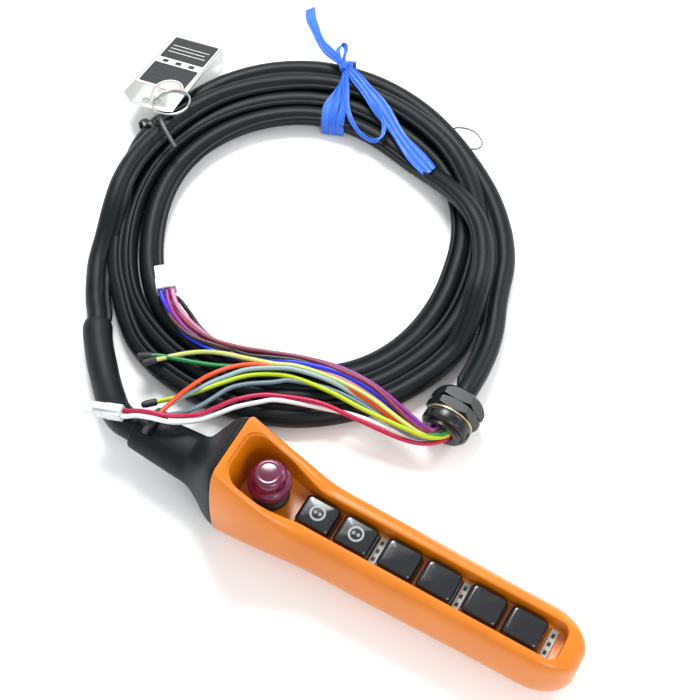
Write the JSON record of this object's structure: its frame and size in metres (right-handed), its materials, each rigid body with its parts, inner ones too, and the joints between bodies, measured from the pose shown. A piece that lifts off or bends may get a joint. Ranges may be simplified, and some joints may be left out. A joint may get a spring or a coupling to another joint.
{
  "type": "pendant control station",
  "caption": "Hand-held hoist control pendant: a deep well of push buttons, a hooded mushroom stop button, a cable boot and a coiled cable with a gland, loose conductors and plugs.",
  "frame": {"origin": "middle of the station's footprint on the surface that it lies on", "axes": "+X from the cable boot to the nose, along the row of buttons; +Z the way the buttons face; the cable is coiled on the +Y side"},
  "size_m": [0.4932, 0.4082, 0.086],
  "materials": {
    "housing_orange": "satin orange plastic with a fine grain",
    "seal_rubber": "matt black rubber",
    "boot_rubber": "satin black rubber",
    "sleeve_rubber": "matt black rubber",
    "cable_jacket": "satin black cable jacket",
    "button_black": "glossy black plastic",
    "stop_red": "glossy dark red plastic",
    "collar_black": "matt black plastic",
    "inner_grey": "matt grey plastic",
    "label_film": "satin pale grey film",
    "plain_steel": "zinc-plated steel",
    "spring_steel": "plain spring wire",
    "gland_black": "satin black plastic",
    "washer_brass": "dull brass",
    "wire_insulation": "satin coloured insulation",
    "connector_white": "translucent white plastic",
    "tag_metal": "plain rolled metal",
    "ring_steel": "bright steel wire",
    "tie_black": "matt black nylon",
    "twine_blue": "split blue film twine"
  },
  "bodies": {
    "station": {"front_housing": "housing_orange", "rear_cover": "housing_orange", "housing_gasket": "seal_rubber", "entry_grommet": "seal_rubber", "cable_boot": "boot_rubber", "cable_sleeve": "sleeve_rubber", "cable_entry": "cable_jacket", "cable_lead": "cable_jacket", "cable_coil": "cable_jacket", "cable_tail": "cable_jacket", "stop_collar": "collar_black", "stop_nut": "inner_grey", "contact_block_1": "inner_grey", "contact_block_2": "inner_grey", "contact_block_3": "inner_grey", "stop_contact_block": "inner_grey", "cable_clamp": "inner_grey", "label_strip_1": "label_film", "label_strip_2": "label_film", "label_strip_3": "label_film", "contact_carrier": "plain_steel", "housing_screw_1": "plain_steel", "housing_screw_2": "plain_steel", "housing_screw_3": "plain_steel", "housing_screw_4": "plain_steel", "housing_screw_5": "plain_steel", "clamp_screw_1": "plain_steel", "clamp_screw_2": "plain_steel", "button_spring_1": "spring_steel", "button_spring_2": "spring_steel", "button_spring_3": "spring_steel", "button_spring_4": "spring_steel", "button_spring_5": "spring_steel", "button_spring_6": "spring_steel", "stop_spring": "spring_steel", "gland_nut": "gland_black", "gland_body": "gland_black", "gland_lock_nut": "gland_black", "gland_washer": "washer_brass", "inner_harness": "wire_insulation", "lead_bundle": "wire_insulation", "leads_to_connector_a": "wire_insulation", "leads_green_pair": "wire_insulation", "leads_orange_pair": "wire_insulation", "leads_to_connector_b": "wire_insulation", "connector_a": "connector_white", "connector_b": "connector_white", "tag_plate": "tag_metal", "tag_ring": "ring_steel", "support_wire_eye": "ring_steel", "tag_tie": "tie_black", "coil_tie": "twine_blue"},
    "button_1": {"button_1": "button_black"},
    "button_2": {"button_2": "button_black"},
    "button_3": {"button_3": "button_black"},
    "button_4": {"button_4": "button_black"},
    "button_5": {"button_5": "button_black"},
    "button_6": {"button_6": "button_black"},
    "stop_plunger": {"stop_stem": "inner_grey"},
    "stop_head": {"stop_head": "stop_red"}
  },
  "joints": [
    {"name": "press_1", "type": "slide", "parent": "station", "child": "button_1", "axis": [0, 0, -1], "range_m": [0, 0.004], "stiffness_N_per_m": 400, "springref_m": -0.002, "deforming": ["button_spring_1"]},
    {"name": "press_2", "type": "slide", "parent": "station", "child": "button_2", "axis": [0, 0, -1], "range_m": [0, 0.004], "stiffness_N_per_m": 400, "springref_m": -0.002, "deforming": ["button_spring_2"]},
    {"name": "press_3", "type": "slide", "parent": "station", "child": "button_3", "axis": [0, 0, -1], "range_m": [0, 0.004], "stiffness_N_per_m": 400, "springref_m": -0.002, "deforming": ["button_spring_3"]},
    {"name": "press_4", "type": "slide", "parent": "station", "child": "button_4", "axis": [0, 0, -1], "range_m": [0, 0.004], "stiffness_N_per_m": 400, "springref_m": -0.002, "deforming": ["button_spring_4"]},
    {"name": "press_5", "type": "slide", "parent": "station", "child": "button_5", "axis": [0, 0, -1], "range_m": [0, 0.004], "stiffness_N_per_m": 400, "springref_m": -0.002, "deforming": ["button_spring_5"]},
    {"name": "press_6", "type": "slide", "parent": "station", "child": "button_6", "axis": [0, 0, -1], "range_m": [0, 0.004], "stiffness_N_per_m": 400, "springref_m": -0.002, "deforming": ["button_spring_6"]},
    {"name": "stop_push", "type": "slide", "parent": "station", "child": "stop_plunger", "axis": [0, 0, -1], "range_m": [0, 0.005], "deforming": ["stop_spring"]},
    {"name": "stop_twist", "type": "hinge", "parent": "stop_plunger", "child": "stop_head", "pos_m": [-0.057, 0, 0.045], "axis": [0, 0, 1], "range_deg": [0, 45], "stiffness_Nm_per_rad": 0.02}
  ]
}
